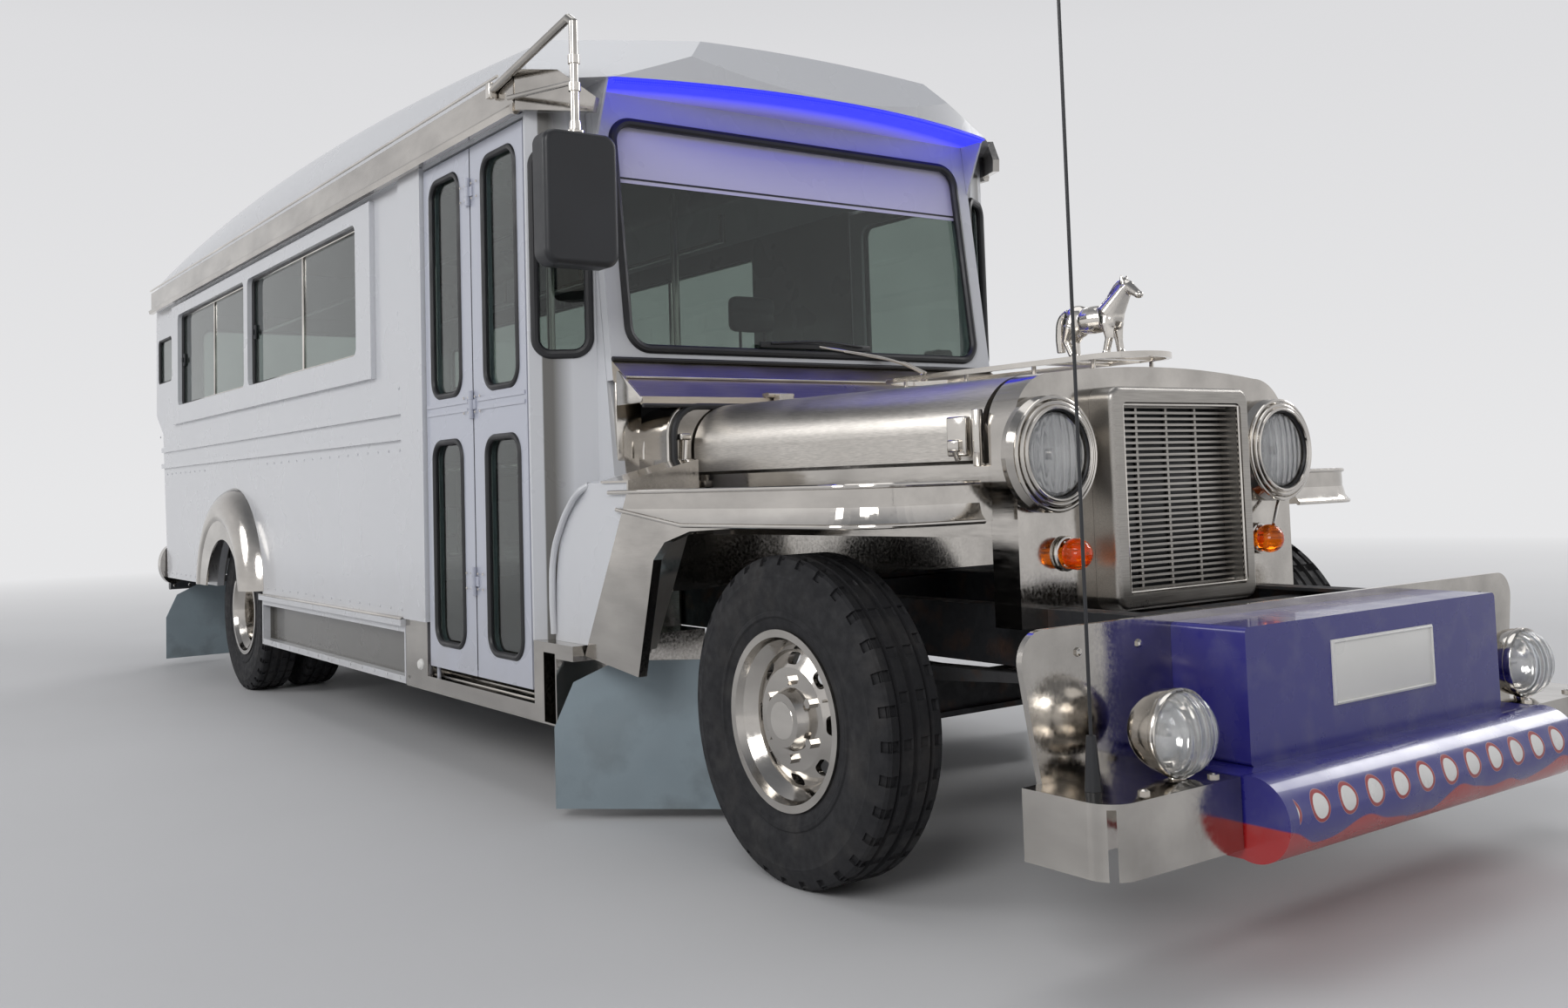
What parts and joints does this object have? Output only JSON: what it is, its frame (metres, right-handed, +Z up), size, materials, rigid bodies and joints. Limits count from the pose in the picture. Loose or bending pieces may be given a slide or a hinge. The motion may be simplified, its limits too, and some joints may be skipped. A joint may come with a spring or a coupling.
{
  "type": "jeepney",
  "caption": "Stretched long-nose jeepney with polished fenders and bumper, white coach body, folding passenger door, hood and driver's door that open, wheels that steer and roll.",
  "frame": {"origin": "Middle of the bounding box's underside, on the floor between the wheels.", "axes": "+X points forward along the vehicle, +Y to the vehicle's left, +Z up."},
  "size_m": [7.63, 2.205, 2.55],
  "materials": {
    "white_paint": "glossy white paint",
    "grey_paint": "glossy pale grey paint",
    "blue_paint": "glossy deep blue paint",
    "polished_steel": "mirror-polished stainless steel",
    "brushed_hood": "satin stainless steel",
    "brushed_grille": "fine-barred stainless steel",
    "chassis_paint": "black chassis paint",
    "cast_steel": "dark forged steel",
    "battery_case": "dark grey coated case",
    "tyre_rubber": "black tyre rubber",
    "black_plastic": "textured black plastic",
    "dark_plastic": "dark grey plastic",
    "tinted_glass": "green-grey tinted glass",
    "lamp_glass": "clear lamp glass",
    "amber_lamp": "amber lamp plastic",
    "flap_sheet": "weathered blue-grey sheet",
    "floor_sheet": "chequered floor sheet",
    "bench_vinyl": "dark stitched vinyl",
    "seat_vinyl": "black stitched vinyl"
  },
  "bodies": {
    "vehicle": {"antenna": "black_plastic", "battery_pack": "battery_case", "benches": "bench_vinyl", "bumper": "polished_steel", "bumper_centre": "blue_paint", "bumper_lamps": "lamp_glass", "cab_sides": "white_paint", "chassis_frame": "chassis_paint", "cowl": "polished_steel", "dashboard": "dark_plastic", "drip_rails": "polished_steel", "driver_seat": "seat_vinyl", "fascia": "polished_steel", "floor": "floor_sheet", "front_axle": "chassis_paint", "front_fenders": "polished_steel", "grille": "brushed_grille", "headlamp_lenses": "lamp_glass", "headlamp_pods": "polished_steel", "leaf_springs": "cast_steel", "marker_lamps": "amber_lamp", "mirror_arm": "polished_steel", "mirror_head": "black_plastic", "mud_flaps": "flap_sheet", "rear_arch_covers": "polished_steel", "rear_axle": "chassis_paint", "rear_bumper": "black_plastic", "rear_wall": "white_paint", "roof": "white_paint", "running_boards": "white_paint", "screen_frame": "white_paint", "scuttle": "polished_steel", "side_wall_left": "white_paint", "side_wall_right": "white_paint", "steering_wheel": "dark_plastic", "step_well": "polished_steel", "tail_lamps": "polished_steel", "visor": "white_paint", "window_glass": "tinted_glass"},
    "door_rear": {"door_leaf_rear": "grey_paint", "door_leaf_rear_glass": "tinted_glass"},
    "door_front": {"door_leaf_front": "grey_paint", "door_leaf_front_glass": "tinted_glass"},
    "driver_door": {"driver_door": "white_paint", "driver_door_glass": "tinted_glass", "door_mirror": "black_plastic"},
    "hood": {"hood": "brushed_hood", "hood_ornament": "polished_steel"},
    "knuckle_right": {"knuckle_right": "cast_steel"},
    "knuckle_left": {"knuckle_left": "cast_steel"},
    "wheel_front_right": {"front_tyre_right": "tyre_rubber", "front_rim_right": "polished_steel"},
    "wheel_front_left": {"front_tyre_left": "tyre_rubber", "front_rim_left": "polished_steel"},
    "wheels_rear_right": {"rear_tyres_right": "tyre_rubber", "rear_rims_right": "polished_steel"},
    "wheels_rear_left": {"rear_tyres_left": "tyre_rubber", "rear_rims_left": "polished_steel"}
  },
  "joints": [
    {"name": "passenger_door_swing", "type": "hinge", "parent": "vehicle", "child": "door_rear", "pos_m": [0.685, -0.942, 1.2], "axis": [0, 0, 1], "range_deg": [0, 75]},
    {"name": "passenger_door_fold", "type": "hinge", "parent": "door_rear", "child": "door_front", "pos_m": [1.085, -0.977, 1.2], "axis": [0, 0, 1], "range_deg": [-150, 0]},
    {"name": "driver_door_swing", "type": "hinge", "parent": "vehicle", "child": "driver_door", "pos_m": [1.4995, 0.977, 1.3], "axis": [0, 0, -1], "range_deg": [0, 70]},
    {"name": "hood_lift", "type": "hinge", "parent": "vehicle", "child": "hood", "pos_m": [1.893, 0, 1.222], "axis": [0, -1, 0], "range_deg": [0, 50]},
    {"name": "steer_right", "type": "hinge", "parent": "vehicle", "child": "knuckle_right", "pos_m": [2.673, -0.66, 0.389], "axis": [0, 0, 1], "range_deg": [-30, 30]},
    {"name": "steer_left", "type": "hinge", "parent": "vehicle", "child": "knuckle_left", "pos_m": [2.673, 0.66, 0.389], "axis": [0, 0, 1], "range_deg": [-30, 30]},
    {"name": "front_right_spin", "type": "hinge", "parent": "knuckle_right", "child": "wheel_front_right", "pos_m": [2.673, -0.8, 0.389], "axis": [0, 1, 0], "continuous": true},
    {"name": "front_left_spin", "type": "hinge", "parent": "knuckle_left", "child": "wheel_front_left", "pos_m": [2.673, 0.8, 0.389], "axis": [0, 1, 0], "continuous": true},
    {"name": "rear_right_spin", "type": "hinge", "parent": "vehicle", "child": "wheels_rear_right", "pos_m": [-1.89, -0.745, 0.389], "axis": [0, 1, 0], "continuous": true},
    {"name": "rear_left_spin", "type": "hinge", "parent": "vehicle", "child": "wheels_rear_left", "pos_m": [-1.89, 0.745, 0.389], "axis": [0, 1, 0], "continuous": true}
  ],
  "couplings": [
    {"joint": "passenger_door_fold", "follows": "passenger_door_swing", "ratio": -2},
    {"joint": "steer_left", "follows": "steer_right", "ratio": 1}
  ]
}
